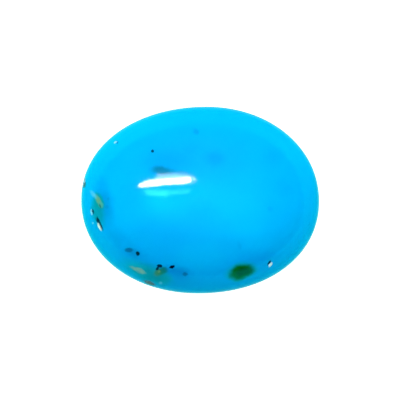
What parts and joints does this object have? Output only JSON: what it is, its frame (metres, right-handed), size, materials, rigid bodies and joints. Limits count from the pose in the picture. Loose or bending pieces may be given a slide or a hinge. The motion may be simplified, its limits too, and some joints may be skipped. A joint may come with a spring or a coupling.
{
  "type": "oval turquoise cabochon",
  "caption": "Polished oval turquoise cabochon: a domed face over a short wall, ground edge and flat back, with open pits in the dome, ready to lie in a bezel or on a surface.",
  "frame": {"origin": "The middle of the flat back, which is the bottom centre of the bounding box.", "axes": "+X along the oval's long axis, +Y along its short axis, +Z out of the domed face."},
  "size_m": [0.018, 0.0142, 0.006],
  "materials": {
    "turquoise": "high polish"
  },
  "bodies": {
    "root": {"cabochon": "turquoise"}
  },
  "joints": []
}
